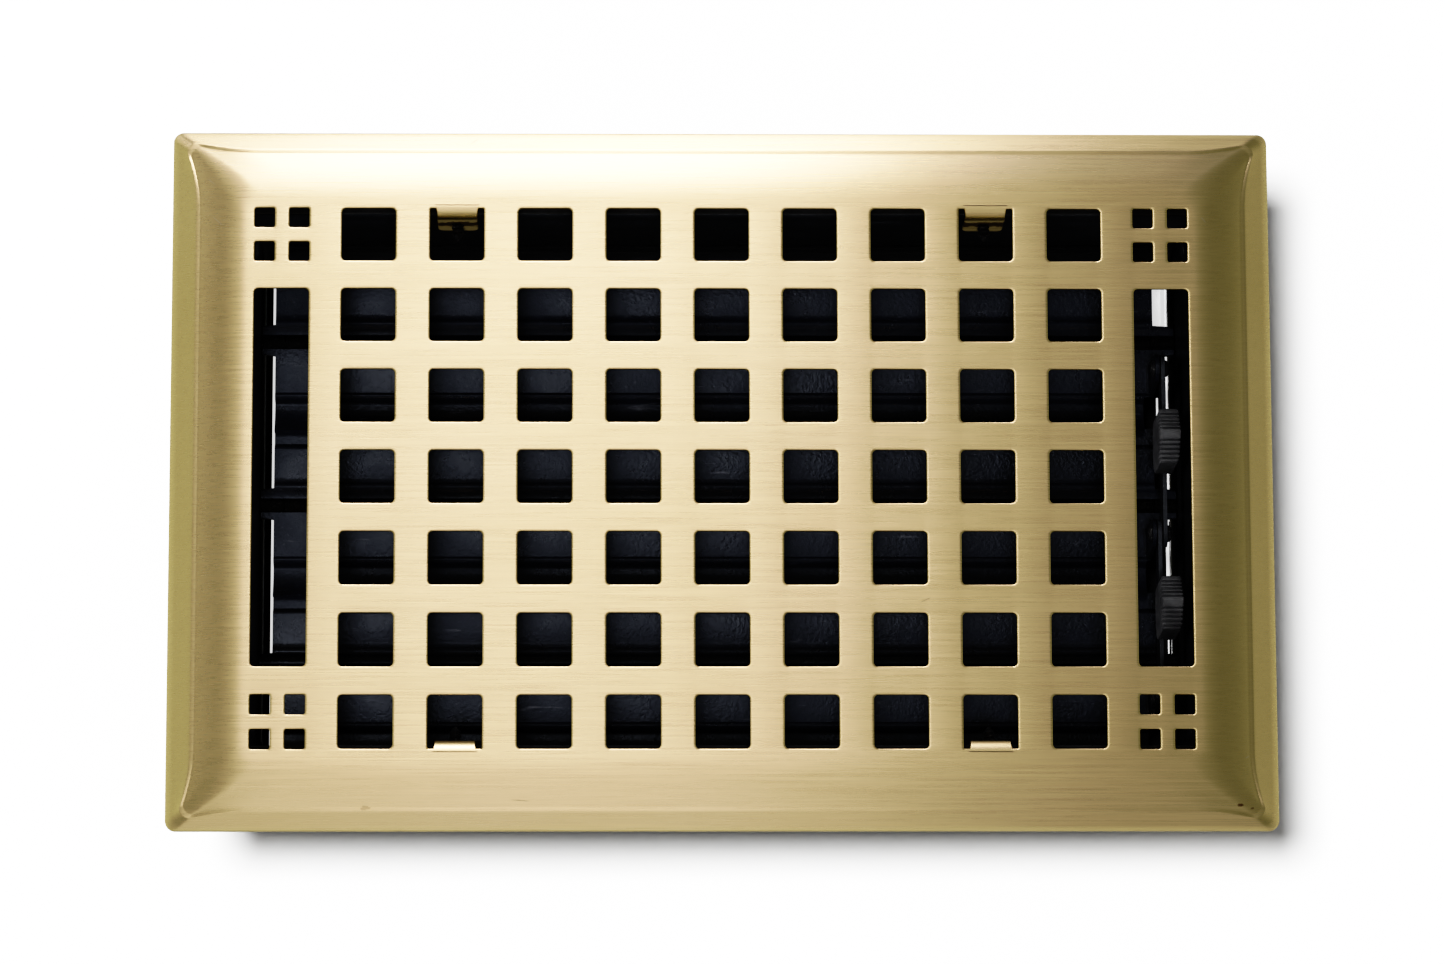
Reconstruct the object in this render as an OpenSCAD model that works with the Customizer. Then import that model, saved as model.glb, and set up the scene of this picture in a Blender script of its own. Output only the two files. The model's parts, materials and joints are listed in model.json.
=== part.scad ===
// Floor register: a stamped brass faceplate over a black damper box with three
// linked louvre blades, worked by two thumb knobs in the right-hand finger slot.
// +X runs along the blades, +Y points to the rear, z = 0 is the floor surface.

/* [Faceplate] */
// Length of the faceplate, along X
plate_length = 291; // [288:0.5:296]
// Width of the faceplate, along Y
plate_width = 187; // [186:0.5:192]
// Height of the flat top above the floor
plate_height = 5.2; // [5:0.1:6]
// Thickness of the faceplate's sheet
plate_sheet = 1.0; // [0.8:0.1:1.2]
// Height of the upright rim round the edge
rim_height = 1.6; // [1.4:0.1:2]
// Height of the crease between the bevel and the slope
crease_height = 3.7; // [3.2:0.1:4.2]
// Width of the bevel along the short sides
end_bevel = 6.4; // [5:0.2:7]
// Width of the bevel along the long sides
side_bevel = 5.0; // [4:0.2:6]
// Width of the shallow slope inside the bevel
slope_width = 13.6; // [10:0.2:13.6]
// Radius of the outer corners in plan
plate_corner = 2.7; // [1.5:0.1:4]

/* [Grille pattern] */
// Side of each square hole
hole_size = 14.3; // [13:0.1:15]
// Radius of the holes' corners
hole_corner = 1.2; // [0.6:0.1:2]
// Columns of square holes
columns = 9; // [9:1:9]
// Rows of square holes
rows = 7; // [7:1:7]
// Distance between columns
column_pitch = 23.35; // [23:0.05:23.6]
// Distance between rows
row_pitch = 21.73; // [21.5:0.01:22]
// Distance from the middle of the plate to a finger slot's centre line
slot_offset = 116.35; // [115.8:0.05:116.6]
// Width of each finger slot
slot_width = 14.5; // [14:0.1:15]
// Side of each small square hole in the corner clusters
small_hole = 5.35; // [4.5:0.05:6]

/* [Tabs and screws] */
// Width of each fixing tab bent down from a hole's edge
tab_width = 10.7; // [9:0.1:11]
// Drop of the tabs below the faceplate's top
tab_drop = 16.2; // [14:0.1:18]
// Columns between the middle column and the tabs
tab_column = 3; // [2:1:4]
// Inner radius of the tabs' bend
tab_bend = 1.0; // [0.8:0.1:1.2]
// Drop of the tab screws below the faceplate's top
screw_drop = 8.7; // [8:0.1:10]
// Radius of the tab screws' shank
screw_radius = 1.65; // [1.5:0.05:1.8]
// Length of the tab screws under the head
screw_length = 6.8; // [6:0.1:8]

/* [Damper box] */
// Length of the box over its end walls
box_length = 249.8; // [249:0.1:250.4]
// Width of the box over its long walls
box_width = 144; // [143.8:0.1:145]
// Depth of the box below the floor surface
box_depth = 61; // [60.5:0.5:66]
// Height of the walls' top edge above the floor surface
box_top = 3.0; // [2:0.1:3.2]
// Thickness of the box's sheet
box_sheet = 0.9; // [0.7:0.1:1]
// Reach of the lip turned out along the top of each long wall
wall_lip = 1.6; // [1:0.1:1.8]
// Width of the flanges that lap the end walls
corner_flange = 12; // [10:0.5:13]
// Radius of the corner rivets' shank
rivet_radius = 1.6; // [1.4:0.1:1.8]

/* [Blades] */
// Distance between blade pivots
blade_pitch = 45; // [45:0.1:45.4]
// Depth of the pivot axes below the floor surface
pivot_depth = 39.5; // [39:0.1:41]
// Thickness of the blades' sheet
blade_sheet = 0.9; // [0.8:0.1:1]
// Reach of a blade from its pivot to its rear edge
rear_reach = 21.5; // [21:0.1:21.8]
// Reach of a blade from its pivot to its front lip
front_reach = 24.9; // [24.5:0.1:25.1]
// Left end of the blades, from the middle
blade_left = 120; // [118:0.5:121]
// Right end of the blades' rear half, from the middle
blade_right = 117.8; // [117:0.1:118.5]
// Radius of the pivot journals
journal_radius = 2.0; // [1.6:0.1:2.2]
// Radial clearance of every running fit
running_gap = 0.06; // [0.03:0.01:0.08]

/* [Linkage] */
// Set-back of the crank pins in front of the pivots
pin_back = 10.4; // [10:0.1:10.8]
// Rise of the crank pins above the pivots
pin_rise = 17.5; // [17:0.1:18]
// Radius of the crank pins
pin_radius = 1.5; // [1.3:0.1:1.7]
// Half height of a link bar, which is its end radius
bar_radius = 3.7; // [3.4:0.1:3.8]
// Thickness of the link bars
bar_sheet = 1.2; // [1:0.1:1.2]
// Left face of the front link bar, from the middle
front_bar_face = 116.7; // [116.7:0.1:116.8]

/* [Thumb knobs] */
// Length of a thumb knob, along Y
knob_length = 14.5; // [13:0.1:15]
// Width of a thumb knob at its middle
knob_width = 5.7; // [5.5:0.1:5.8]
// Height of the knobs' peak above the floor surface, closed
knob_peak = 2.2; // [1.5:0.1:2.3]
// Drop from a knob's peak to its two ends, like a roof
knob_drop = 5.2; // [3:0.1:5.6]
// Ribs on each side of a knob's peak
knob_ribs = 5; // [3:1:5]

/* [Hidden] */
$fn = 48;

BRASS = [0.80, 0.71, 0.47];
BLACK_STEEL = [0.16, 0.17, 0.19];
BLADE_STEEL = [0.21, 0.22, 0.26];
SCREW_BLACK = [0.10, 0.10, 0.11];
KNOB_GREY = [0.33, 0.33, 0.34];

cut = 1;
sheet_gap = 0.3;

hole_reach = (rows - 1) / 2 * row_pitch + hole_size / 2;
slot_length = 2 * ((rows - 3) / 2 * row_pitch + hole_size / 2);
small_spread = (slot_width - small_hole) / 2;
small_row = (rows - 1) / 2 * row_pitch;

long_inner = box_width / 2 - box_sheet;
end_inner = box_length / 2 - box_sheet;
box_bottom = -box_depth;
wall_height = box_top - box_bottom;

tab_gap = 0.2;
tab_face = long_inner - tab_gap - plate_sheet;
tab_root_overlap = 0.6;
tab_screw_z = plate_height - screw_drop;
screw_head_radius = 3.2;
screw_head_height = 2.1;
screw_point = 1.6;
screw_tip_radius = 0.4;
screw_hole_play = 0.15;

rivet_inset = 7;
rivet_y = box_width / 2 - rivet_inset;
rivet_top_drop = 13;
rivet_bottom_rise = 11;
rivet_heights = [box_top - rivet_top_drop, box_bottom + rivet_bottom_rise];
rivet_head_radius = 2.9;
rivet_head_height = 1.0;
rivet_drill_half = 3;

pivot_z = -pivot_depth;
blade_rows = [blade_pitch, 0, -blade_pitch];
ledge_level = -0.2;
flat_level = 1.4;
bead_height = 0.6;
trough_level = -0.3;
lip_rise = 3.3;
blade_reach_z = 6;
channel_radius = 2.95;
ledge_inner = 16.8;
ledge_foot = 15.7;
rear_bead_y = 5;
rear_bead_width = 2.4;
front_bead_y = -14.9;
front_bead_width = 1.4;
trough_start = -16.3;
lip_start = -17.4;
tongue_rear = 4.2;
tongue_front = -3.2;
tongue_shoulder = 0.8;
tongue_clearance = 0.5;
tongue_end = end_inner - tongue_clearance;
shank_play = 0.04;
pin_shank_radius = channel_radius - blade_sheet / 2 - shank_play;
pin_shank_length = 12;
journal_proud = 0.7;
journal_end = end_inner + box_sheet + journal_proud;

stop_underside = pivot_z + ledge_level + blade_sheet / 2 + sheet_gap;
stop_lip_y = long_inner - 8.3;
stop_height = 5.6;
stop_end_clearance = 1.5;

ear_sheet = 1.0;
ear_gap = 0.4;
lip_gap = 0.2;
ear_radius = 3.8;
ear_front = -14.9;
ear_rear = -5.8;
front_ear_face = front_bar_face - sheet_gap - ear_sheet;
rear_bar_face = front_bar_face + bar_sheet + sheet_gap;
rear_ear_face = rear_bar_face - ear_gap - ear_sheet;
lip_right = front_ear_face - lip_gap;
pin_z = pivot_z + pin_rise;
crank_head_radius = 2.3;
crank_head_height = 1.2;
crank_head_gap = 0.2;

knob_end_width = 5.3;
knob_shift = 0.7;
knob_bar_offset = 0.45;
knob_x = rear_bar_face + knob_bar_offset;
knob_overlap = 1.7;
knob_bottom = pin_z + knob_overlap;
rib_pitch = 1.1;
rib_depth = 0.5;
rear_smooth = 0.7;
front_smooth = 1.6;
end_chamfer = 0.3;
end_shoulder = 2;
slot_reach = 5;
bar_tab_width = 7;
bar_tab_rise = 15;
fit_play = 0.05;

// ---------- Outline helpers ----------

function reversed(list) = [for (i = [len(list) - 1 : -1 : 0]) list[i]];

function arc(centre, radius, from, to, steps) = [
    for (i = [0 : steps])
        let (a = from + (to - from) * i / steps)
        centre + radius * [cos(a), sin(a)]
];

// Unit normal of the stretch that starts at point i
function stretch_normal(line, i) =
    let (d = line[i + 1] - line[i])
    [-d[1], d[0]] / norm(d);

// Mitred offset direction at point i of an open line
function mitre(line, i) =
    let (
        a = stretch_normal(line, max(i - 1, 0)),
        b = stretch_normal(line, min(i, len(line) - 2))
    )
    (a + b) / (1 + a * b);

function offset_line(line, distance) = [
    for (i = [0 : len(line) - 1]) line[i] + distance * mitre(line, i)
];

// Closed outline of a bent sheet whose middle line is given
function sheet_outline(line, sheet) =
    concat(offset_line(line, sheet / 2), reversed(offset_line(line, -sheet / 2)));

// Extrudes a (Y, Z) outline along X, centred
module extrude_x(length) {
    rotate([90, 0, 90])
        linear_extrude(height = length, center = true) children();
}

// Extrudes an (X, Z) outline along Y, centred
module extrude_y(length) {
    rotate([90, 0, 0])
        linear_extrude(height = length, center = true) children();
}

module rounded_rectangle(length, width, radius) {
    square([length - 2 * radius, width], center = true);
    square([length, width - 2 * radius], center = true);
    for (sx = [-1, 1], sy = [-1, 1])
        translate([sx * (length / 2 - radius), sy * (width / 2 - radius)])
            circle(r = radius);
}

// A round bar along X from one station to another
module bar_x(from, to, radius) {
    translate([from, 0, 0])
        rotate([0, 90, 0])
            cylinder(h = to - from, r = radius);
}

// ---------- Faceplate ----------

slope_steps = 6;

// Right half of the plate's section, from the rim to the edge of the flat
function half_section(half, bevel, drop, base) = concat(
    [[half, base], [half, rim_height - drop], [half - bevel, crease_height - drop]],
    [for (i = [1 : slope_steps])
        let (u = i / slope_steps)
        [
            half - bevel - slope_width * u,
            crease_height - drop + (plate_height - crease_height) * (1 - pow(1 - u, 2))
        ]]
);

function mirrored(points) = [for (p = reversed(points)) [-p[0], p[1]]];

module section(half, bevel, drop, base) {
    right = half_section(half, bevel, drop, base);
    polygon(concat(right, mirrored(right)));
}

// A block with the plate's pillowed top: mitred where the two sections cross
module pillow(inset, drop, base) {
    length = plate_length - 2 * inset;
    width = plate_width - 2 * inset;
    intersection() {
        extrude_y(width + 2 * cut) section(length / 2, end_bevel, drop, base);
        extrude_x(length + 2 * cut) section(width / 2, side_bevel, drop, base);
        translate([0, 0, base])
            linear_extrude(height = plate_height - base + cut)
                rounded_rectangle(length, width, plate_corner - inset);
    }
}

module grille_holes() {
    half_columns = (columns - 1) / 2;
    half_rows = (rows - 1) / 2;
    for (i = [-half_columns : half_columns], j = [-half_rows : half_rows])
        translate([i * column_pitch, j * row_pitch])
            rounded_rectangle(hole_size, hole_size, hole_corner);
    for (side = [-1, 1]) {
        translate([side * slot_offset, 0])
            rounded_rectangle(slot_width, slot_length, hole_corner);
        for (row = [-1, 1], sx = [-1, 1], sy = [-1, 1])
            translate([side * slot_offset + sx * small_spread, row * small_row + sy * small_spread])
                rounded_rectangle(small_hole, small_hole, hole_corner / 2);
    }
}

// Section of a tab that leaves the sheet, bends down and lies along the long wall
module tab_section() {
    outer = tab_bend + plate_sheet;
    centre = [tab_face + outer, plate_height - outer];
    root = hole_reach + tab_root_overlap;
    polygon(concat(
        [[root, plate_height]],
        arc(centre, outer, 90, 180, 8),
        [[tab_face, plate_height - tab_drop], [tab_face + plate_sheet, plate_height - tab_drop]],
        arc(centre, tab_bend, 180, 90, 8),
        [[root, plate_height - plate_sheet]]
    ));
}

module at_each_tab() {
    for (turn = [0, 180], side = [-1, 1])
        rotate([0, 0, turn])
            translate([side * tab_column * column_pitch, 0, 0]) children();
}

module faceplate() {
    color(BRASS)
        difference() {
            union() {
                difference() {
                    pillow(0, 0, 0);
                    pillow(plate_sheet, plate_sheet, -cut);
                    translate([0, 0, -cut])
                        linear_extrude(height = plate_height + 2 * cut) grille_holes();
                }
                at_each_tab() extrude_x(tab_width) tab_section();
            }
            at_each_tab()
                translate([0, tab_face - cut, tab_screw_z])
                    rotate([-90, 0, 0])
                        cylinder(h = plate_sheet + 2 * cut, r = screw_radius);
        }
}

// ---------- Damper box ----------

// A long wall with a lip turned out along its top, and a flange bent in at each end to
// lap the outside of the end walls
module long_wall() {
    outer_x = box_length / 2 + box_sheet;
    translate([0, long_inner + box_sheet / 2, (box_top + box_bottom) / 2])
        cube([2 * outer_x, box_sheet, wall_height], center = true);
    translate([0, box_width / 2 + wall_lip / 2, box_top - box_sheet / 2])
        cube([2 * end_inner, wall_lip + fit_play, box_sheet], center = true);
    for (side = [-1, 1])
        translate([
            side * (outer_x - box_sheet / 2),
            box_width / 2 - corner_flange / 2,
            (box_top + box_bottom) / 2
        ])
            cube([box_sheet, corner_flange, wall_height], center = true);
}

module screw_clearance() {
    for (side = [-1, 1])
        translate([side * tab_column * column_pitch, long_inner - cut, tab_screw_z])
            rotate([-90, 0, 0])
                cylinder(h = box_sheet + 2 * cut, r = screw_radius + screw_hole_play);
}

module at_each_corner_rivet() {
    for (side = [-1, 1], row = [-1, 1], z = rivet_heights)
        translate([side * (end_inner + box_sheet), row * rivet_y, z]) children();
}

module drilled_long_wall() {
    difference() {
        long_wall();
        screw_clearance();
        at_each_corner_rivet() bar_x(-rivet_drill_half, rivet_drill_half, rivet_radius);
    }
}

module long_wall_rear() {
    color(BLACK_STEEL) drilled_long_wall();
}

module long_wall_front() {
    color(BLACK_STEEL) mirror([0, 1, 0]) drilled_long_wall();
}

module end_wall(side) {
    difference() {
        translate([side * (end_inner + box_sheet / 2), 0, (box_top + box_bottom) / 2])
            cube([box_sheet, 2 * long_inner, wall_height], center = true);
        at_each_corner_rivet() bar_x(-rivet_drill_half, rivet_drill_half, rivet_radius);
        for (y = blade_rows)
            translate([side * (end_inner + box_sheet / 2), y, pivot_z])
                bar_x(-cut, cut, journal_radius + running_gap);
    }
}

module end_wall_left() {
    color(BLACK_STEEL) end_wall(-1);
}

module end_wall_right() {
    color(BLACK_STEEL) end_wall(1);
}

// An angle along the rear wall that the rear blade's edge closes up against
module blade_stop_strip() {
    length = 2 * (blade_left - stop_end_clearance);
    color(BLACK_STEEL)
        translate([0, 0, stop_underside])
            extrude_x(length)
                polygon([
                    [stop_lip_y, 0],
                    [long_inner, 0],
                    [long_inner, stop_height],
                    [long_inner - box_sheet, stop_height],
                    [long_inner - box_sheet, box_sheet],
                    [stop_lip_y, box_sheet]
                ]);
}

module corner_rivets() {
    color(BLACK_STEEL)
        at_each_corner_rivet() {
            bar_x(-box_sheet - rivet_head_height, box_sheet + rivet_head_height, rivet_radius);
            bar_x(-box_sheet - rivet_head_height, -box_sheet, rivet_head_radius);
            bar_x(box_sheet, box_sheet + rivet_head_height, rivet_head_radius);
        }
}

// Self-tapping screws driven in from outside the box, through the wall into each tab
module tab_screws() {
    color(SCREW_BLACK)
        at_each_tab()
            translate([0, box_width / 2, tab_screw_z])
                rotate([90, 0, 0]) {
                    translate([0, 0, -screw_head_height])
                        cylinder(h = screw_head_height, r = screw_head_radius);
                    cylinder(h = screw_length - screw_point, r = screw_radius);
                    translate([0, 0, screw_length - screw_point])
                        cylinder(h = screw_point, r1 = screw_radius, r2 = screw_tip_radius);
                }
}

// ---------- Blades ----------

// A rounded ridge pressed into the sheet, centred at y
function bead(y, width) = [
    for (i = [0 : 4]) [y + width / 2 - width * i / 4, flat_level + bead_height * sin(45 * i)]
];

// The lip's middle line, curving up to the front edge
function lip(steps) = [
    for (i = [0 : steps])
        let (u = i / steps)
        [lip_start - (front_reach + lip_start) * u, trough_level + lip_rise * u * u]
];

// Middle line of the blade's section, from its rear edge to its front lip, pivot at 0, 0
function blade_line() =
    let (mouth = asin(flat_level / channel_radius))
    concat(
        [[rear_reach, ledge_level], [ledge_inner, ledge_level], [ledge_foot, flat_level]],
        bead(rear_bead_y, rear_bead_width),
        arc([0, 0], channel_radius, mouth, -180 - mouth, 14),
        bead(front_bead_y, front_bead_width),
        [[trough_start, trough_level]],
        lip(6)
    );

// Plan of a blade: the middle tongue is longer than its two halves, and the crank ear
// leaves the front half's right end
module blade_plan(ear_face) {
    polygon([
        [-blade_left, rear_reach + cut],
        [-blade_left, tongue_rear + tongue_shoulder],
        [-tongue_end, tongue_rear],
        [-tongue_end, tongue_front],
        [-blade_left, tongue_front - tongue_shoulder],
        [-blade_left, -front_reach - cut],
        [lip_right, -front_reach - cut],
        [lip_right, ear_front],
        [ear_face + ear_sheet, ear_front],
        [ear_face + ear_sheet, tongue_front - tongue_shoulder],
        [tongue_end, tongue_front],
        [tongue_end, tongue_rear],
        [blade_right, tongue_rear + tongue_shoulder],
        [blade_right, rear_reach + cut]
    ]);
}

// The crank ear: a plate standing on the blade's right end, round at its top
module crank_ear(ear_face) {
    base = flat_level - blade_sheet / 2;
    translate([ear_face + ear_sheet / 2, 0, 0])
        extrude_x(ear_sheet)
            polygon([
                [ear_rear, base],
                [-pin_back + ear_radius, pin_rise],
                [-pin_back - ear_radius, pin_rise],
                [ear_front, base]
            ]);
    translate([0, -pin_back, pin_rise])
        bar_x(ear_face, ear_face + ear_sheet, ear_radius);
}

module blade(y, ear_face) {
    translate([0, y, pivot_z])
        difference() {
            union() {
                intersection() {
                    extrude_x(2 * tongue_end + cut)
                        polygon(sheet_outline(blade_line(), blade_sheet));
                    translate([0, 0, -blade_reach_z])
                        linear_extrude(height = 2 * blade_reach_z) blade_plan(ear_face);
                }
                crank_ear(ear_face);
            }
            translate([0, -pin_back, pin_rise])
                bar_x(ear_face - cut, ear_face + ear_sheet + cut, pin_radius);
        }
}

module blade_rear() {
    color(BLADE_STEEL) blade(blade_rows[0], rear_ear_face);
}

module blade_middle() {
    color(BLADE_STEEL) blade(blade_rows[1], front_ear_face);
}

module blade_front() {
    color(BLADE_STEEL) blade(blade_rows[2], front_ear_face);
}

// Two stub pins lying in the blade's channel, each with a journal in its end wall
module pivot_pins(y) {
    translate([0, y, pivot_z])
        for (turn = [0, 180])
            rotate([0, 0, turn]) {
                bar_x(tongue_end - pin_shank_length, tongue_end, pin_shank_radius);
                bar_x(tongue_end, journal_end, journal_radius);
            }
}

module pivot_pins_rear() {
    color(SCREW_BLACK) pivot_pins(blade_rows[0]);
}

module pivot_pins_middle() {
    color(SCREW_BLACK) pivot_pins(blade_rows[1]);
}

module pivot_pins_front() {
    color(SCREW_BLACK) pivot_pins(blade_rows[2]);
}

// ---------- Linkage ----------

// A rivet clinched in a crank ear; its shank is the pin that the link bars turn on
module crank_rivet(y, ear_face, last_bar_face) {
    far_face = last_bar_face + bar_sheet + crank_head_gap;
    translate([0, y - pin_back, pin_z]) {
        bar_x(ear_face - crank_head_height, ear_face, crank_head_radius);
        bar_x(ear_face - crank_head_height, far_face + crank_head_height, pin_radius);
        bar_x(far_face, far_face + crank_head_height, crank_head_radius);
    }
}

module crank_rivet_rear() {
    color(BLACK_STEEL) crank_rivet(blade_rows[0], rear_ear_face, rear_bar_face);
}

module crank_rivet_middle() {
    color(BLACK_STEEL) crank_rivet(blade_rows[1], front_ear_face, rear_bar_face);
}

module crank_rivet_front() {
    color(BLACK_STEEL) crank_rivet(blade_rows[2], front_ear_face, front_bar_face);
}

// A flat bar between two crank pins, with an upright tab that carries its knob
module link_bar(rear_y, face) {
    middle = rear_y - blade_pitch / 2 - pin_back;
    difference() {
        translate([face + bar_sheet / 2, middle, pin_z]) {
            cube([bar_sheet, blade_pitch, 2 * bar_radius], center = true);
            translate([0, knob_shift, bar_tab_rise / 2])
                cube([bar_sheet, bar_tab_width, bar_tab_rise], center = true);
            for (end = [-1, 1])
                translate([0, end * blade_pitch / 2, 0])
                    bar_x(-bar_sheet / 2, bar_sheet / 2, bar_radius);
        }
        for (end = [-1, 1])
            translate([face, middle + end * blade_pitch / 2, pin_z])
                bar_x(-cut, bar_sheet + cut, pin_radius + running_gap);
    }
}

module link_bar_rear() {
    color(BLACK_STEEL) link_bar(blade_rows[0], rear_bar_face);
}

module link_bar_front() {
    color(BLACK_STEEL) link_bar(blade_rows[1], front_bar_face);
}

// ---------- Thumb knobs ----------

// Height of the knob's roof at a distance from its peak
function roof(y) = knob_peak - knob_drop * 2 * y / knob_length;

// One half of the ribbed roof, from the edge of the smooth peak outwards
function ribs(start) = [
    for (i = [0 : knob_ribs - 1])
        let (y = start + rib_pitch * i)
        each [
            [y, roof(y)],
            [y + 0.3 * rib_pitch, roof(y + 0.3 * rib_pitch) - rib_depth],
            [y + 0.5 * rib_pitch, roof(y + 0.5 * rib_pitch) - rib_depth],
            [y + 0.8 * rib_pitch, roof(y + 0.8 * rib_pitch)]
        ]
];

function roof_half(start) = let (half = knob_length / 2) concat(
    ribs(start),
    [[half - end_chamfer, roof(half - end_chamfer)], [half, roof(half) - end_shoulder]]
);

module knob_side() {
    half = knob_length / 2;
    polygon(concat(
        mirrored(roof_half(front_smooth)),
        [[0, knob_peak]],
        roof_half(rear_smooth),
        [[half, knob_bottom], [-half, knob_bottom]]
    ));
}

// Half width of a knob at u, which runs from -1 to 1 over its length
function knob_half_width(u) = knob_width / 2 - (knob_width - knob_end_width) / 2 * pow(u, 2);

module knob_plan() {
    half = knob_length / 2;
    polygon(concat(
        [for (i = [-4 : 4]) [knob_half_width(i / 4), half * i / 4]],
        [for (i = [4 : -1 : -4]) [-knob_half_width(i / 4), half * i / 4]]
    ));
}

module thumb_knob(rear_y, face) {
    middle = rear_y - blade_pitch / 2 - pin_back + knob_shift;
    play = 2 * fit_play;
    difference() {
        intersection() {
            translate([knob_x, middle, 0]) extrude_x(knob_width + cut) knob_side();
            translate([knob_x, middle, knob_bottom - cut])
                linear_extrude(height = knob_peak - knob_bottom + 2 * cut) knob_plan();
        }
        translate([face + bar_sheet / 2, middle, pin_z + bar_radius + fit_play - slot_reach])
            cube([bar_sheet + play, knob_length + 2 * cut, 2 * slot_reach], center = true);
        translate([face + bar_sheet / 2, middle, pin_z + bar_tab_rise / 2 + fit_play])
            cube([bar_sheet + play, bar_tab_width + play, bar_tab_rise], center = true);
    }
}

module thumb_knob_rear() {
    color(KNOB_GREY) thumb_knob(blade_rows[0], rear_bar_face);
}

module thumb_knob_front() {
    color(KNOB_GREY) thumb_knob(blade_rows[1], front_bar_face);
}

// ---------- Nodes ----------

faceplate();
long_wall_rear();
long_wall_front();
end_wall_left();
end_wall_right();
blade_stop_strip();
corner_rivets();
tab_screws();
blade_rear();
blade_middle();
blade_front();
pivot_pins_rear();
pivot_pins_middle();
pivot_pins_front();
crank_rivet_rear();
crank_rivet_middle();
crank_rivet_front();
link_bar_rear();
link_bar_front();
thumb_knob_rear();
thumb_knob_front();
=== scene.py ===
"""Looks of a floor register: a brushed brass faceplate over a black damper box whose
three linked louvre blades are worked by two thumb knobs. Lengths are in millimetres
until a mesh is made, in the row frame: +X along the blades, +Y to the rear."""

import json
import math

import bpy
import bmesh
from mathutils import Matrix, Vector
from mathutils.geometry import delaunay_2d_cdt

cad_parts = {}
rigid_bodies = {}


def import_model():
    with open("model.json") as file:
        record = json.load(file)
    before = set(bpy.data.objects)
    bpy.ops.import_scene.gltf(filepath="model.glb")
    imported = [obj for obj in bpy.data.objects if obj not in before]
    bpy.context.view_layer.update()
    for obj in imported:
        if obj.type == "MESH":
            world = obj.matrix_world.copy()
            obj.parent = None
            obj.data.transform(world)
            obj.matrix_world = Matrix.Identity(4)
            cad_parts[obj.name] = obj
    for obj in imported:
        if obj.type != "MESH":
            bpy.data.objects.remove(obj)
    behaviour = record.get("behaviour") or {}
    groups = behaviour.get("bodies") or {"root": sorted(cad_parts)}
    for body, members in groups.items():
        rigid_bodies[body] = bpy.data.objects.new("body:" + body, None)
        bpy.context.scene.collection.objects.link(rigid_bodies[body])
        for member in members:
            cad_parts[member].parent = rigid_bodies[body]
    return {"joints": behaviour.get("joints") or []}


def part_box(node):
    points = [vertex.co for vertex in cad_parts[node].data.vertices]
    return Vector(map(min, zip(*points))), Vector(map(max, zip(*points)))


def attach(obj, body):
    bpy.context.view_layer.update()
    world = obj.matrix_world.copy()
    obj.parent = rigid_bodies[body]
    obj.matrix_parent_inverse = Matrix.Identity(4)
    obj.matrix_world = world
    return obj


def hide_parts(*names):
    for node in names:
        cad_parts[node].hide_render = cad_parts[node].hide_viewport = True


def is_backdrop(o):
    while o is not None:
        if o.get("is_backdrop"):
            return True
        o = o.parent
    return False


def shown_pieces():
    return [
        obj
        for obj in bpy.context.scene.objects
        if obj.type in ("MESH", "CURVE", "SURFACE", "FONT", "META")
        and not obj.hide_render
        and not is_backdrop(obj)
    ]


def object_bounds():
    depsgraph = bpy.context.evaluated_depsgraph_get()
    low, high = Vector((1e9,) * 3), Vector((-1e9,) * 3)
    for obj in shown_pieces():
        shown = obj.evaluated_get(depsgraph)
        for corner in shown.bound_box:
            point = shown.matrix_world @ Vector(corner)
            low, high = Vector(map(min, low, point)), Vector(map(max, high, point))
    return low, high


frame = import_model()
cad_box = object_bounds()

MM = 0.001


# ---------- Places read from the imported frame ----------


def node_box(node):
    """Lowest and highest corner of a CAD node, in millimetres."""
    low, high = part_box(node)
    return Vector(low) / MM, Vector(high) / MM


def joint_place(name):
    """Where a joint's axis runs, in millimetres."""
    for joint in frame["joints"]:
        if joint["name"] == name:
            return Vector(joint["pos_m"]) / MM
    raise ValueError(name)


PLATE_HIGH = node_box("faceplate")[1]
HALF_LENGTH, HALF_WIDTH = PLATE_HIGH.x, PLATE_HIGH.y
TOP = PLATE_HIGH.z
WALL_LOW, WALL_HIGH = node_box("long_wall_rear")
END_LOW, END_HIGH = node_box("end_wall_right")
STOP_LOW, STOP_HIGH = node_box("blade_stop_strip")
PIVOTS = {
    "rear": joint_place("rear_louvre_hinge"),
    "middle": joint_place("middle_louvre_hinge"),
    "front": joint_place("front_louvre_hinge"),
}
PIN_REAR = joint_place("rear_link_hinge")
PIN_BACK = PIVOTS["rear"].y - PIN_REAR.y
PIN_RISE = PIN_REAR.z - PIVOTS["rear"].z

# The plate and its border, as the CAD source has them
PLATE_SHEET = 1.0
RIM_HEIGHT = 1.6
CREASE_HEIGHT = 3.7
END_BEVEL = 6.4
SIDE_BEVEL = 5.0
SLOPE_WIDTH = 13.6
PLATE_CORNER = 2.7
FLAT_CORNER_GROWTH = 1.2
SLOPE_CORNER_SWELL = 9.0
LEDGE = 0.95
LEDGE_RISE = -0.028
UNDERSIDE_SHRINK = 0.8

# How far the crease is drawn out at its corners, the shares of that across and downwards,
# and where it fades out along the sides
FLARE = 2.6
FLARE_ACROSS = 0.7
FLARE_SAG = 0.28
FLARE_REACH = 12.0
FLARE_STEPS = (12.0, 8.0, 5.0, 2.5, 1.0)

# The pierced pattern
HOLE = 14.3
HOLE_CORNER = 1.2
TAB_HOLE_CORNER = 0.35
COLUMNS = 9
ROWS = 7
COLUMN_PITCH = 23.35
ROW_PITCH = 21.73
SLOT_OFFSET = 116.35
SLOT_WIDTH = 14.5
SMALL_HOLE = 5.35

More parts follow.
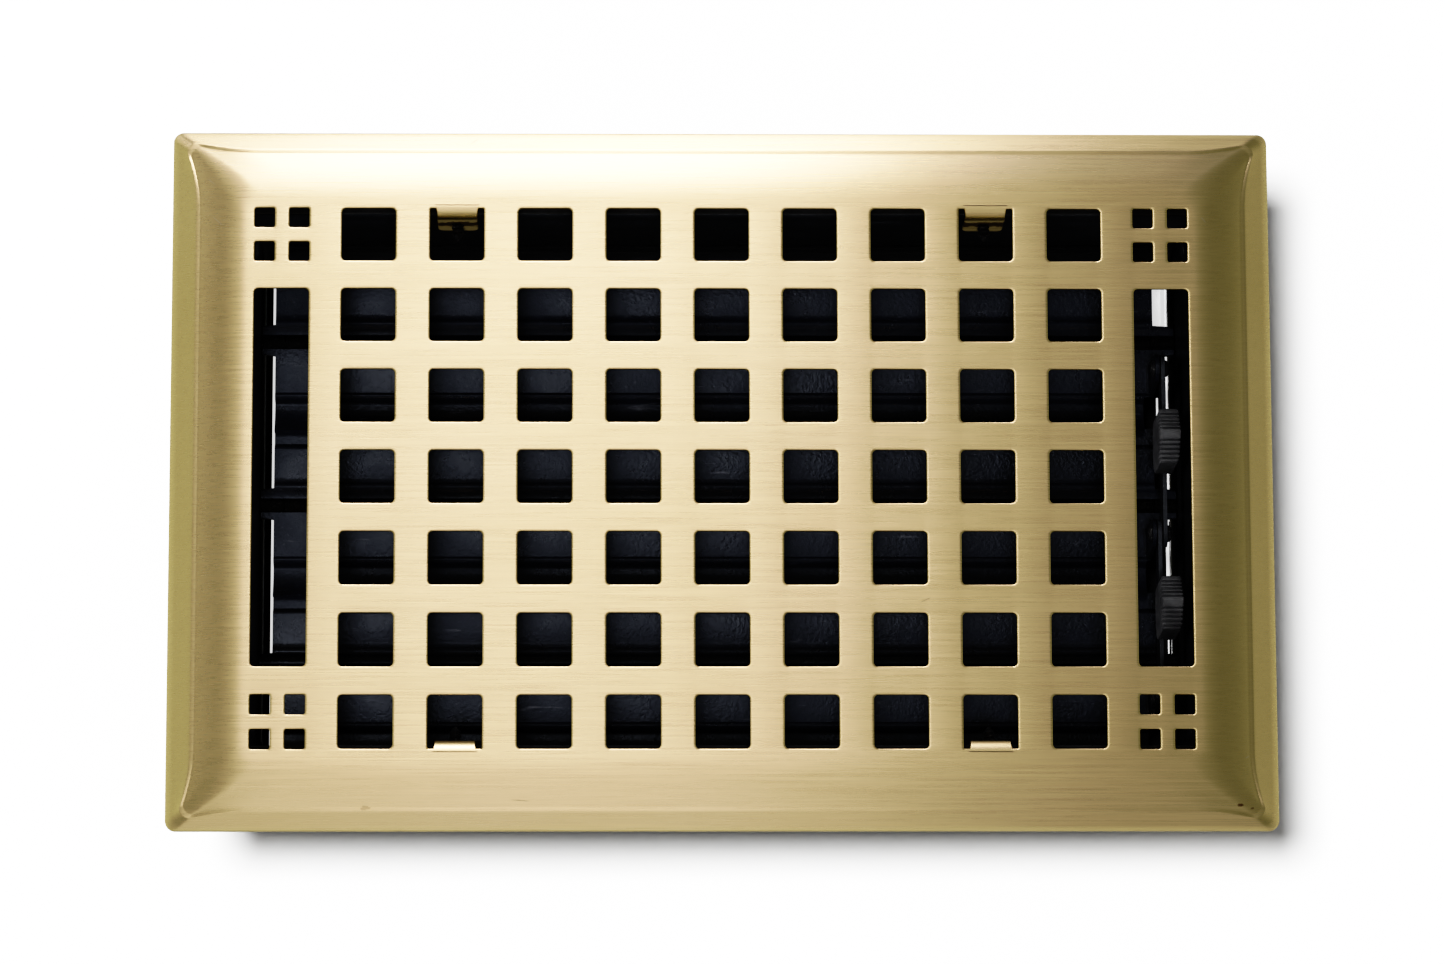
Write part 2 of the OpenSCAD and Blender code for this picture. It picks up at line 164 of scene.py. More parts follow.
# The fixing tabs and their screws
TAB_COLUMN = 3
TAB_WIDTH = 10.7
TAB_BEND = 1.9
TAB_SETBACK = 1.2
TAB_FOOT = TOP - 16.2
TAB_FOOT_CORNER = 1.6
TAB_EDGE = 0.18
TAB_GAP = 0.2
SCREW_RADIUS = 1.65
SCREW_LENGTH = 6.8
SCREW_POINT = 1.6
SCREW_PITCH = 1.15
SCREW_HEAD = 2.1

# The box
BOX_SHEET = 0.9
BOX_BEND = 1.0
WALL_FACE = 71.1
WALL_LIP = 1.6
WALL_NOTCH = 2.0
CORNER_RIVET = 2.9

# The blades
BLADE_SHEET = 0.9
EAR_SHEET = 1.0
EAR_RADIUS = 3.8
EAR_FILLET = 1.1
CHANNEL_RADIUS = 2.95
FLAT_LEVEL = 1.4
BLADE_LEFT = -120.0
BLADE_RIGHT = 117.8
LIP_RIGHT = 115.2
END_PLAY = 0.5

# The links and knobs
LINK_RADIUS = 3.7
LINK_TAB_HALF = 3.5
LINK_FILLET = 1.2
LINK_TAB_CORNER = 0.8
KNOB_DROP = 5.2
KNOB_SHIFT = 0.7
RIBS = 5
RIB_PITCH = 1.1


# ---------- Mesh helpers ----------


def new_object(name, data):
    obj = bpy.data.objects.new(name, data)
    bpy.context.scene.collection.objects.link(obj)
    return obj


class Shell:
    """Vertices and faces gathered from several closed forms."""

    def __init__(self):
        self.points = []
        self.faces = []

    def add(self, points, faces):
        start = len(self.points)
        self.points += [Vector(p) for p in points]
        self.faces += [[start + i for i in face] for face in faces]
        return self

    def mesh(self, name):
        """A mesh in metres, with meeting points joined and its normals turned outwards."""
        mesh = bpy.data.meshes.new(name)
        mesh.from_pydata([p * MM for p in self.points], [], self.faces)
        grid = bmesh.new()
        grid.from_mesh(mesh)
        bmesh.ops.remove_doubles(grid, verts=grid.verts, dist=2e-7)
        bmesh.ops.recalc_face_normals(grid, faces=grid.faces)
        grid.to_mesh(mesh)
        grid.free()
        return mesh

    def piece(self, name, material, body, slot, nodes, bevel=0.0, angle=35):
        """Makes the object, puts it on its body and hides the CAD nodes it stands for."""
        mesh = self.mesh(name)
        planar_uv(mesh)
        obj = new_object(name, mesh)
        mesh.materials.append(material)
        mesh.shade_smooth()
        if bevel:
            edge = obj.modifiers.new("soft_edges", "BEVEL")
            edge.width = bevel * MM
            edge.segments = 2
            edge.limit_method = "ANGLE"
            edge.angle_limit = math.radians(angle)
            edge.harden_normals = True
        else:
            mesh.set_sharp_from_angle(angle=math.radians(angle))
        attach(obj, body)
        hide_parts(*nodes)
        return obj


def planar_uv(mesh):
    """U runs across the brushing and V along it, so that a tangent made from U is never
    degenerate, on upright faces either."""
    layer = mesh.uv_layers.new(name="grain")
    for loop in mesh.loops:
        x, y, z = mesh.vertices[loop.vertex_index].co
        layer.data[loop.index].uv = (3 * y + 2.1 * z, 3 * x + 0.9 * z)


def loft(rings, caps=True):
    """Joins closed rings of equal length, and caps the first and the last of them."""
    count = len(rings[0])
    points = [p for ring in rings for p in ring]
    faces = []
    for i in range(len(rings) - 1):
        for j in range(count):
            k = (j + 1) % count
            here, beyond = i * count, (i + 1) * count
            faces.append([here + j, here + k, beyond + k, beyond + j])
    if caps:
        last = (len(rings) - 1) * count
        faces.append(list(range(count))[::-1])
        faces.append([last + j for j in range(count)])
    return points, faces


def prism(outline, low, high, axis):
    """A closed form from a flat outline, drawn along X, Y or Z."""

    def place(a, b, c):
        return {"x": (c, a, b), "y": (a, c, b), "z": (a, b, c)}[axis]

    return loft([[place(a, b, c) for a, b in outline] for c in (low, high)])


def arc(centre, radius, start, stop, steps):
    """Points on a circle, in degrees."""
    turn = [math.radians(start + (stop - start) * i / steps) for i in range(steps + 1)]
    return [(centre[0] + radius * math.cos(a), centre[1] + radius * math.sin(a)) for a in turn]


def rounded_rectangle(half_x, half_y, radii, steps=5, centre=(0, 0)):
    """Outline with a radius for each corner: front-right, rear-right, rear-left,
    front-left."""
    corners = [(1, -1, -90), (1, 1, 0), (-1, 1, 90), (-1, -1, 180)]
    points = []
    for (sx, sy, start), radius in zip(corners, radii):
        middle = (centre[0] + sx * (half_x - radius), centre[1] + sy * (half_y - radius))
        points += arc(middle, radius, start, start + 90, steps)
    return points


def rounded_line(points, radius):
    """An open line with each inner corner turned into a small curve."""
    steps = 4
    line = [Vector(points[0])]
    for before, corner, after in zip(points, points[1:], points[2:]):
        corner = Vector(corner)
        to_before = (Vector(before) - corner).normalized()
        to_after = (Vector(after) - corner).normalized()
        reach = min(
            radius / math.tan(to_before.angle(to_after) / 2),
            0.45 * (Vector(before) - corner).length,
            0.45 * (Vector(after) - corner).length,
        )
        start, stop = corner + to_before * reach, corner + to_after * reach
        for i in range(steps + 1):
            t = i / steps
            line.append((1 - t) ** 2 * start + 2 * t * (1 - t) * corner + t * t * stop)
    line.append(Vector(points[-1]))
    return line


def offset_line(line, distance):
    """The line moved sideways, mitred at its corners."""
    moved = []
    for i, point in enumerate(line):
        normals = []
        for a, b in ((i - 1, i), (i, i + 1)):
            if a >= 0 and b < len(line):
                step = (line[b] - line[a]).normalized()
                normals.append(Vector((-step.y, step.x)))
        both = sum(normals, Vector((0, 0)))
        mitre = len(normals) / both.dot(both) if both.length else 0
        moved.append(point + both * (distance * mitre))
    return moved


def sheet_outline(line, sheet):
    """The outline of a sheet bent along its middle line."""
    line = [Vector(p) for p in line]
    return offset_line(line, sheet / 2) + offset_line(line, -sheet / 2)[::-1]


def turned(profile, origin, direction, segments=32):
    """A closed turned form. The profile is (distance along the axis, radius), and its two
    end radii are small."""
    spin = Vector(direction).to_track_quat("Z", "X")
    rings = []
    for along, radius in profile:
        ring = []
        for i in range(segments):
            a = 2 * math.pi * i / segments
            local = Vector((radius * math.cos(a), radius * math.sin(a), along))
            ring.append(Vector(origin) + spin @ local)
        rings.append(ring)
    return loft(rings)


# ---------- Material helpers ----------


def new_material(name):
    material = bpy.data.materials.new(name)
    material.use_nodes = True
    shader = material.node_tree.nodes["Principled BSDF"]
    return material, material.node_tree, shader


def add_node(tree, kind, values=None, **settings):
    """A node whose inputs are given as numbers or as other nodes' outputs."""
    node = tree.nodes.new(kind)
    for key, value in settings.items():
        setattr(node, key, value)
    for key, value in (values or {}).items():
        if isinstance(value, bpy.types.NodeSocket):
            tree.links.new(value, node.inputs[key])
        else:
            node.inputs[key].default_value = value
    return node


def noise(tree, scale, stretch=(1, 1, 1), detail=3.0, roughness=0.5, shift=0.0):
    """Noise in the object's own space; scale counts waves to the metre."""
    place = add_node(tree, "ShaderNodeTexCoord").outputs["Object"]
    mapped = add_node(
        tree,
        "ShaderNodeMapping",
        {"Vector": place, "Scale": stretch, "Location": (shift, shift * 0.7, shift * 1.3)},
    )
    values = {
        "Vector": mapped.outputs["Vector"],
        "Scale": scale,
        "Detail": detail,
        "Roughness": roughness,
    }
    return add_node(tree, "ShaderNodeTexNoise", values).outputs["Fac"]


def remap(tree, value, low, high, to_low, to_high):
    values = {0: value, 1: low, 2: high, 3: to_low, 4: to_high}
    return add_node(tree, "ShaderNodeMapRange", values).outputs[0]


def mix_colour(tree, factor, a, b, blend="MIX"):
    values = {0: factor, 6: a, 7: b}
    node = add_node(tree, "ShaderNodeMix", values, data_type="RGBA", blend_type=blend)
    return node.outputs[2]


def math_node(tree, operation, a, b=0.0):
    return add_node(tree, "ShaderNodeMath", {0: a, 1: b}, operation=operation).outputs[0]


def wander(tree, value, reach):
    """Noise made into a shift to both sides of zero."""
    return math_node(tree, "MULTIPLY", math_node(tree, "SUBTRACT", value, 0.5), reach)


def bump(tree, height, strength, distance):
    values = {"Height": height, "Strength": strength, "Distance": distance}
    return add_node(tree, "ShaderNodeBump", values).outputs["Normal"]


def tab_colours(tree, colour):
    """Below the plate the tabs are dull, with a ragged dark brown band round the screws.
    Gives the colour and how metallic it is."""
    place = add_node(tree, "ShaderNodeTexCoord").outputs["Object"]
    z = add_node(tree, "ShaderNodeSeparateXYZ", {0: place}).outputs["Z"]
    dull = remap(tree, z, 0.0022, 0.0002, 0.0, 0.75)
    colour = mix_colour(tree, dull, colour, (0.30, 0.235, 0.105, 1))
    # A ragged dark brown band across the tabs, centred 3.2 mm below the level of the rim's foot
    ragged = noise(tree, 420.0, detail=5, roughness=0.7, shift=8.8)
    level = math_node(tree, "ADD", z, wander(tree, ragged, 0.009))
    off = math_node(tree, "ABSOLUTE", math_node(tree, "ADD", level, 0.0032))
    marked = remap(tree, off, 0.0026, 0.0021, 0.0, 0.92)
    below = remap(tree, z, 0.0003, -0.0003, 0.0, 1.0)
    marked = math_node(tree, "MULTIPLY", marked, below)
    colour = mix_colour(tree, marked, colour, (0.035, 0.018, 0.008, 1))
    bare = math_node(tree, "SUBTRACT", 1.0, math_node(tree, "MAXIMUM", dull, marked))
    return colour, bare


def mark(tree, centre, half, turn, ragged, strength):
    """A mask inside a turned ellipse with a noisy edge; lengths in millimetres."""
    place = add_node(tree, "ShaderNodeTexCoord").outputs["Object"]
    local = add_node(
        tree,
        "ShaderNodeMapping",
        {
            "Vector": place,
            "Location": (centre[0] * MM, centre[1] * MM, 0),
            "Rotation": (0, 0, math.radians(turn)),
            "Scale": (half[0] * MM, half[1] * MM, 1.0),
        },
        vector_type="TEXTURE",
    )
    flat = add_node(
        tree, "ShaderNodeVectorMath", {0: local.outputs[0], 1: (1, 1, 0)}, operation="MULTIPLY"
    )
    reach = add_node(tree, "ShaderNodeVectorMath", {0: flat.outputs[0]}, operation="LENGTH")
    rough = noise(tree, 1500.0, detail=4, roughness=0.7, shift=centre[0] * 0.01)
    edge = math_node(tree, "ADD", reach.outputs["Value"], wander(tree, rough, ragged))
    return remap(tree, edge, 1.0, 0.7, 0.0, strength)


def brass_marks(tree, colour):
    """Scratches, nicks and brown spots left by use, each as its centre, half lengths, turn in
    degrees, raggedness, strength and colour."""
    dark, brown, pale = (0.2, 0.16, 0.08, 1), (0.16, 0.07, 0.025, 1), (1.0, 0.95, 0.8, 1)
    marks = [
        ((-65.7, 91.0), (1.6, 0.10), 38, 0.5, 0.8, dark),
        ((53.2, -33.0), (1.5, 0.16), 25, 1.6, 0.6, dark),
        ((-52.9, -85.8), (2.6, 0.16), -4, 1.4, 0.5, dark),
        ((-93.3, -87.7), (1.3, 0.6), 10, 2.0, 0.35, brown),
        ((135.1, -87.0), (0.9, 0.45), 0, 1.8, 0.85, brown),
        ((138.3, -87.8), (0.5, 0.3), 20, 1.8, 0.6, brown),
        ((-133.4, 68.8), (2.0, 0.10), -42, 0.4, 0.6, pale),
        ((-135.1, 79.5), (1.5, 0.09), -38, 0.4, 0.5, pale),
        ((128.0, 69.4), (1.1, 0.09), -50, 0.4, 0.5, pale),
        ((137.2, -74.4), (0.7, 0.09), 30, 0.4, 0.5, pale),
    ]
    for centre, half, turn, ragged, strength, tint in marks:
        colour = mix_colour(tree, mark(tree, centre, half, turn, ragged, strength), colour, tint)
    return colour


def brass_material():
    """Brass brushed along X under a thin clear lacquer."""
    material, tree, shader = new_material("brushed_brass")
    hairs = noise(tree, 1.0, (28, 3300, 1900), detail=3, roughness=0.6)
    strands = noise(tree, 1.0, (110, 900, 600), detail=2, shift=3.1)
    clouds = noise(tree, 14.0, (1, 1.6, 1), detail=3, shift=1.7)
    tone = remap(tree, clouds, 0.3, 0.7, 0.0, 1.0)
    base = mix_colour(tree, tone, (0.86, 0.70, 0.305, 1), (0.90, 0.735, 0.335, 1))
    streak = remap(tree, hairs, 0.25, 0.75, 0.92, 1.07)
    band = remap(tree, strands, 0.3, 0.7, 0.982, 1.015)
    shade = math_node(tree, "MULTIPLY", streak, band)
    grey = add_node(tree, "ShaderNodeCombineColor", {0: shade, 1: shade, 2: shade})
    colour = mix_colour(tree, 1.0, base, grey.outputs[0], "MULTIPLY")
    colour, metal = tab_colours(tree, colour)
    colour = brass_marks(tree, colour)
    tree.links.new(colour, shader.inputs["Base Color"])
    tree.links.new(metal, shader.inputs["Metallic"])
    rough = remap(tree, hairs, 0.3, 0.7, 0.26, 0.31)
    tree.links.new(rough, shader.inputs["Roughness"])
    normal = bump(tree, hairs, 0.25, 0.00003)
    tree.links.new(normal, shader.inputs["Normal"])
    tangent = add_node(tree, "ShaderNodeTangent", direction_type="UV_MAP", uv_map="grain")
    tree.links.new(tangent.outputs[0], shader.inputs["Tangent"])
    shader.inputs["Anisotropic"].default_value = 0.94
    shader.inputs["Coat Weight"].default_value = 0.5
    shader.inputs["Coat Roughness"].default_value = 0.3
    return material


def paint_material(name, colour, rough, peel, wear=0.0):
    """Black paint with orange peel, dust and thin scuffs."""
    material, tree, shader = new_material(name)
    dust = noise(tree, 55.0, detail=5, roughness=0.6, shift=0.4)
    specks = noise(tree, 900.0, detail=2, shift=2.2)
    scuffs = noise(tree, 1.0, (60, 420, 300), detail=6, roughness=0.7, shift=5.5)
    pale = tuple(c * 2.2 + 0.002 for c in colour[:3]) + (1,)
    base = mix_colour(tree, remap(tree, dust, 0.35, 0.75, 0.0, 0.55), colour, pale)
    spotted = remap(tree, specks, 0.66, 0.78, 0.0, 0.35)
    base = mix_colour(tree, spotted, base, (0.05, 0.052, 0.058, 1))
    marked = remap(tree, scuffs, 0.63, 0.74, 0.0, wear)
    base = mix_colour(tree, marked, base, (0.11, 0.11, 0.12, 1))
    tree.links.new(base, shader.inputs["Base Color"])
    gloss = remap(tree, dust, 0.3, 0.7, rough - 0.07, rough + 0.1)
    tree.links.new(gloss, shader.inputs["Roughness"])
    grain = noise(tree, peel, detail=3, roughness=0.55, shift=7.7)
    tree.links.new(bump(tree, grain, 0.35, 0.00025), shader.inputs["Normal"])
    return material


def screw_material():
    """Black oxide steel, rubbed to grey here and there."""
    material, tree, shader = new_material("black_oxide")
    worn = remap(tree, noise(tree, 1300.0, detail=4), 0.55, 0.75, 0.0, 0.6)
    base = mix_colour(tree, worn, (0.022, 0.022, 0.024, 1), (0.16, 0.155, 0.15, 1))
    tree.links.new(base, shader.inputs["Base Color"])
    tree.links.new(remap(tree, worn, 0, 0.6, 0.38, 0.28), shader.inputs["Roughness"])
    tree.links.new(bump(tree, noise(tree, 3000.0), 0.2, 0.00005), shader.inputs["Normal"])
    shader.inputs["Metallic"].default_value = 0.6
    return material


def plastic_material():
    """Moulded dark grey plastic, matt and a little dusty."""
    material, tree, shader = new_material("moulded_plastic")
    dust = noise(tree, 260.0, detail=5, roughness=0.65)
    dusty = remap(tree, dust, 0.35, 0.75, 0.0, 1.0)
    base = mix_colour(tree, dusty, (0.015, 0.015, 0.016, 1), (0.03, 0.03, 0.031, 1))
    tree.links.new(base, shader.inputs["Base Color"])
    tree.links.new(remap(tree, dust, 0.3, 0.7, 0.5, 0.66), shader.inputs["Roughness"])
    grain = noise(tree, 4200.0, detail=2, shift=1.1)
    tree.links.new(bump(tree, grain, 0.4, 0.00006), shader.inputs["Normal"])
    return material


BRASS = brass_material()
BOX_PAINT = paint_material("box_paint", (0.010, 0.0105, 0.012, 1), 0.34, 850.0, 0.35)
BLADE_PAINT = paint_material("blade_paint", (0.004, 0.0045, 0.0065, 1), 0.27, 1100.0, 0.3)
OXIDE = screw_material()
PLASTIC = plastic_material()


# ---------- Faceplate ----------


def border_section():
    """(inset from the end sides, inset from the long sides, height, corner radius, flare at
    the corners) from the rim's foot to the edge of the flat."""
    section = [
        (0.12, 0.12, 0.0, PLATE_CORNER, 0.0),
        (0.0, 0.0, 0.15, PLATE_CORNER, 0.0),
        (0.0, 0.0, RIM_HEIGHT - 0.16, PLATE_CORNER, 0.0),
        (0.04, 0.04, RIM_HEIGHT - 0.05, PLATE_CORNER, 0.0),
        (0.14, 0.13, RIM_HEIGHT + 0.03, PLATE_CORNER, 0.0),
        (0.34, 0.32, RIM_HEIGHT + 0.12, PLATE_CORNER, 0.0),
    ]
    rise = CREASE_HEIGHT - RIM_HEIGHT
    for u in (0.25, 0.5, 0.75, 0.9, 0.985):
        section.append((
            END_BEVEL * u, SIDE_BEVEL * u, RIM_HEIGHT + rise * u, PLATE_CORNER, FLARE * u * u,
        ))
    for inset, height in ((0.06, 0.004), (LEDGE - 0.08, LEDGE_RISE)):
        section.append((
            END_BEVEL + inset, SIDE_BEVEL + inset, CREASE_HEIGHT + height, PLATE_CORNER, FLARE,
        ))
    start = CREASE_HEIGHT + LEDGE_RISE
    width = SLOPE_WIDTH - LEDGE
    for u in (0.006, 0.05, 0.1, 0.2, 0.3, 0.4, 0.5, 0.6, 0.7, 0.8, 0.88, 0.94, 0.98, 1.0):
        section.append((
            END_BEVEL + LEDGE + width * u,
            SIDE_BEVEL + LEDGE + width * u,
            start + (TOP - start) * (1 - (1 - u) ** 2),
            PLATE_CORNER + FLAT_CORNER_GROWTH * u + SLOPE_CORNER_SWELL * u * (1 - u),
            FLARE * (1 - u) ** 3,
        ))
    return section


def border_ring(inset_x, inset_y, z, radius, flare):
    """A rounded rectangle whose corners are drawn outwards and down by the flare."""
    half_x, half_y = HALF_LENGTH - inset_x, HALF_WIDTH - inset_y
    ring = []
    for sx, sy, start in ((1, -1, -90), (1, 1, 0), (-1, 1, 90), (-1, -1, 180)):
        x, y = sx * (half_x - radius), sy * (half_y - radius)
        along = [((x - sx * d, sy * half_y), 1 - d / FLARE_REACH) for d in FLARE_STEPS]
        up = [((sx * half_x, y - sy * d), 1 - d / FLARE_REACH) for d in FLARE_STEPS]
        before, after = (along, up) if sx * sy < 0 else (up, along)
        turn = [(point, 1.0) for point in arc((x, y), radius, start, start + 90, 10)]
        for (px, py), pull in before + turn + after[::-1]:
            out = flare * pull ** 2
            ring.append((px + sx * out, py + FLARE_ACROSS * sy * out, z - FLARE_SAG * out))
    return ring


# Distance outside a hole's edge and depth below the top: the sheet rolls over as it is
# punched
DIE_ROLL = [
    (0.7, 0.0), (0.4, 0.004), (0.2, 0.016), (0.09, 0.045), (0.03, 0.1), (0.0, 0.18),
    (0.0, PLATE_SHEET),
]


def hole_list():
    """Centre, half sizes and corner radii of every hole."""
    holes = []
    last_row = (ROWS - 1) // 2
    for i in range(-(COLUMNS - 1) // 2, (COLUMNS - 1) // 2 + 1):
        for j in range(-last_row, last_row + 1):
            radii = [HOLE_CORNER] * 4
            if abs(i) == TAB_COLUMN and j == last_row:
                radii[1] = radii[2] = TAB_HOLE_CORNER
            if abs(i) == TAB_COLUMN and j == -last_row:
                radii[0] = radii[3] = TAB_HOLE_CORNER
            holes.append(((i * COLUMN_PITCH, j * ROW_PITCH), HOLE / 2, HOLE / 2, radii))
    slot_half = (ROWS - 3) / 2 * ROW_PITCH + HOLE / 2
    spread = (SLOT_WIDTH - SMALL_HOLE) / 2
    for side in (-1, 1):
        middle = side * SLOT_OFFSET
        holes.append(((middle, 0), SLOT_WIDTH / 2, slot_half, [HOLE_CORNER] * 4))
        for j in (-last_row, last_row):
            for sx in (-1, 1):
                for sy in (-1, 1):
                    centre = (middle + sx * spread, j * ROW_PITCH + sy * spread)
                    half = SMALL_HOLE / 2
                    holes.append((centre, half, half, [HOLE_CORNER / 2] * 4))
    return holes


def hole_rings(hole):
    """A hole's outline at each step of its rolled edge, down to the underside."""
    centre, half_x, half_y, radii = hole
    rings = []
    for reach, depth in DIE_ROLL:
        outline = rounded_rectangle(
            half_x + reach, half_y + reach, [r + reach for r in radii], 6, centre
        )
        rings.append([(x, y, TOP - depth) for x, y in outline])
    return rings


def pierced_sheet(outer, loops, z):
    """Triangles that fill the outer loop around the holes' loops."""
    points = [Vector(p[:2]) for p in outer]
    owner = [-1] * len(points)
    edges = [(i, (i + 1) % len(outer)) for i in range(len(outer))]
    for number, loop in enumerate(loops):
        start = len(points)
        points += [Vector(p[:2]) for p in loop]
        owner += [number] * len(loop)
        edges += [(start + i, start + (i + 1) % len(loop)) for i in range(len(loop))]
    flat, _, faces, origins, _, _ = delaunay_2d_cdt(points, edges, [], 0, 1e-6)
    kept = []
    for face in faces:
        owners = {owner[origins[i][0]] for i in face}
        if len(owners) > 1 or owners == {-1}:
            kept.append(list(face))
    return [(p.x, p.y, z) for p in flat], kept


def tab_line():
    """A tab's inner face as (distance across, height), from its root to its foot."""
    face = WALL_FACE - TAB_GAP - PLATE_SHEET
    outer = TAB_BEND + PLATE_SHEET
    root = (ROWS - 1) / 2 * ROW_PITCH + HOLE / 2 + TAB_SETBACK
    line = [(root, TOP - 0.02), (root - 0.3, TOP), (face + outer + 0.2, TOP)]
    line += arc((face + outer, TOP - outer), outer, 90, 180, 10)
    length = TOP - outer - TAB_FOOT
    line += [(face, TOP - outer - length * u) for u in (0.3, 0.7)]
    for a in (0, 20, 40, 60, 80, 90):
        line.append((face, TAB_FOOT + TAB_FOOT_CORNER * (1 - math.sin(math.radians(a)))))
    return [Vector(p) for p in line]


def tab_strip(side, turn):
    """A fixing tab bent down from the outer edge of its hole, flared over the first eight
    stations at its root and rounded at its foot."""
    flared = 8
    line = tab_line()
    rings = []
    for i, (front, back) in enumerate(zip(line, offset_line(line, PLATE_SHEET))):
        half = TAB_WIDTH / 2
        if i < flared:
            half += 1.0 * (1 - i / flared) ** 2
        over = TAB_FOOT_CORNER - (front.y - TAB_FOOT)
        if over > 0:
            half -= TAB_FOOT_CORNER - math.sqrt(max(TAB_FOOT_CORNER ** 2 - over ** 2, 0.0))
        inward = (back - front).normalized() * TAB_EDGE
        section = [
            (-half, front + inward), (-half + TAB_EDGE, front),
            (half - TAB_EDGE, front), (half, front + inward),
            (half, back - inward), (half - TAB_EDGE, back),
            (-half + TAB_EDGE, back), (-half, back - inward),
        ]
        ring = []
        for x, p in section:
            x += side * TAB_COLUMN * COLUMN_PITCH
            ring.append((turn * x, turn * p.x, p.y))
        rings.append(ring)
    return loft(rings)


def faceplate():
    """The stamped plate: pillowed border, pierced flat with rolled hole edges, tabs."""
    shell = Shell()
    section = border_section()
    above = [border_ring(*s) for s in section]
    below = []
    sunk = PLATE_SHEET * UNDERSIDE_SHRINK
    for inset_x, inset_y, z, radius, flare in section[4:]:
        below.append(border_ring(
            inset_x + sunk, inset_y + sunk, max(z - PLATE_SHEET, 0.4),
            max(radius - sunk, 0.6), flare * UNDERSIDE_SHRINK,
        ))
    foot = border_ring(PLATE_SHEET, PLATE_SHEET, 0.0, PLATE_CORNER - PLATE_SHEET, 0.0)
    edge = border_ring(
        SLOPE_WIDTH + END_BEVEL, SLOPE_WIDTH + SIDE_BEVEL, TOP - PLATE_SHEET,
        PLATE_CORNER + FLAT_CORNER_GROWTH, 0.0,
    )
    under = below[:-1] + [edge]
    shell.add(*loft(under[::-1] + [foot] + above, caps=False))
    rings = [hole_rings(hole) for hole in hole_list()]
    shell.add(*pierced_sheet(above[-1], [r[0] for r in rings], TOP))
    shell.add(*pierced_sheet(edge, [r[-1] for r in rings], TOP - PLATE_SHEET))
    for hole in rings:
        shell.add(*loft(hole, caps=False))
    for side in (-1, 1):
        for turn in (-1, 1):
            shell.add(*tab_strip(side, turn))
    shell.piece("faceplate_shell", BRASS, "casing", "brass_plate", ["faceplate"], angle=40)


# ---------- Damper box ----------


def long_walls():
    """Each long wall is one bent sheet whose flanges lap the end walls."""
    for row, name in ((1, "rear"), (-1, "front")):
        corner_x = WALL_HIGH.x - BOX_SHEET / 2
        wall_y = WALL_HIGH.y - WALL_LIP - BOX_SHEET / 2
        flange_y = WALL_LOW.y
        line = rounded_line(
            [(corner_x, flange_y), (corner_x, wall_y), (-corner_x, wall_y), (-corner_x, flange_y)],
            BOX_BEND,
        )
        outline = [(p.x, row * p.y) for p in sheet_outline(line, BOX_SHEET)]
        shell = Shell().add(*prism(outline, WALL_LOW.z, WALL_HIGH.z, "z"))
        top, under = WALL_HIGH.z, WALL_HIGH.z - BOX_SHEET
        outside = wall_y + BOX_SHEET / 2
        lip = [
            (wall_y, top), (wall_y, under - 0.5), (outside, under - 0.5),
            (outside + 0.4, under), (WALL_HIGH.y, under), (WALL_HIGH.y, top),
        ]
        shell.add(*prism([(row * y, z) for y, z in lip], -END_LOW.x, END_LOW.x, "x"))
        shell.piece(
            "wall_sheet_" + name, BOX_PAINT, "casing", "black_box", ["long_wall_" + name], 0.15
        )


def end_walls():
    """Flat sheets with a relief notch at each lower corner."""
    for side, name in ((-1, "left"), (1, "right")):
        half, notch = END_HIGH.y, WALL_NOTCH
        low, high = END_LOW.z, END_HIGH.z
        outline = [
            (-half + notch, low), (half - notch, low), (half - notch, low + notch),
            (half, low + notch), (half, high), (-half, high),
            (-half, low + notch), (-half + notch, low + notch),
        ]
        inner, outer = sorted((side * END_LOW.x, side * END_HIGH.x))
        shell = Shell().add(*prism(outline, inner, outer, "x"))
        shell.piece(
            "end_sheet_" + name, BOX_PAINT, "casing", "black_box", ["end_wall_" + name], 0.12
        )


def stop_strip():
    """The rolled angle along the rear wall that the rear blade closes against."""
    line = rounded_line(
        [
            (STOP_LOW.y, STOP_LOW.z + BOX_SHEET / 2),
            (STOP_HIGH.y - BOX_SHEET / 2, STOP_LOW.z + BOX_SHEET / 2),
            (STOP_HIGH.y - BOX_SHEET / 2, STOP_HIGH.z),
        ],
        0.9,
    )
    shell = Shell().add(*prism(sheet_outline(line, BOX_SHEET), STOP_LOW.x, STOP_HIGH.x, "x"))
    shell.piece("stop_angle", BOX_PAINT, "casing", "black_box", ["blade_stop_strip"], 0.15)


def rivet_profile(start, stop, shank, head, height):
    """A shank with a low domed head at each end."""
    profile = [(start - height, 0.05)]
    dome = [(0.97, 0.35), (0.85, 0.62), (0.6, 0.84), (0.3, 0.96), (0.06, 1.0), (0.0, 0.96)]
    profile += [(start - height * h, head * r) for h, r in dome]
    profile += [(start, shank), (stop, shank)]
    profile += [(stop + height * h, head * r) for h, r in dome[::-1]]
    return profile + [(stop + height, 0.05)]


def corner_rivets():
    """Domed rivets near the upper and lower end of each upright lap."""
    low, high = node_box("corner_rivets")
    shank, dome = 1.6, 1.0
    profile = rivet_profile(-BOX_SHEET, BOX_SHEET, shank, CORNER_RIVET, dome)
    shell = Shell()
    for side in (-1, 1):
        for row in (-1, 1):
            for z in (high.z - CORNER_RIVET, low.z + CORNER_RIVET):
                seat = high.x - dome - BOX_SHEET
                origin = (side * seat, row * (high.y - CORNER_RIVET), z)
                shell.add(*turned(profile, origin, (side, 0, 0), 28))
    shell.piece("box_rivets", BOX_PAINT, "casing", "black_box", ["corner_rivets"], angle=50)


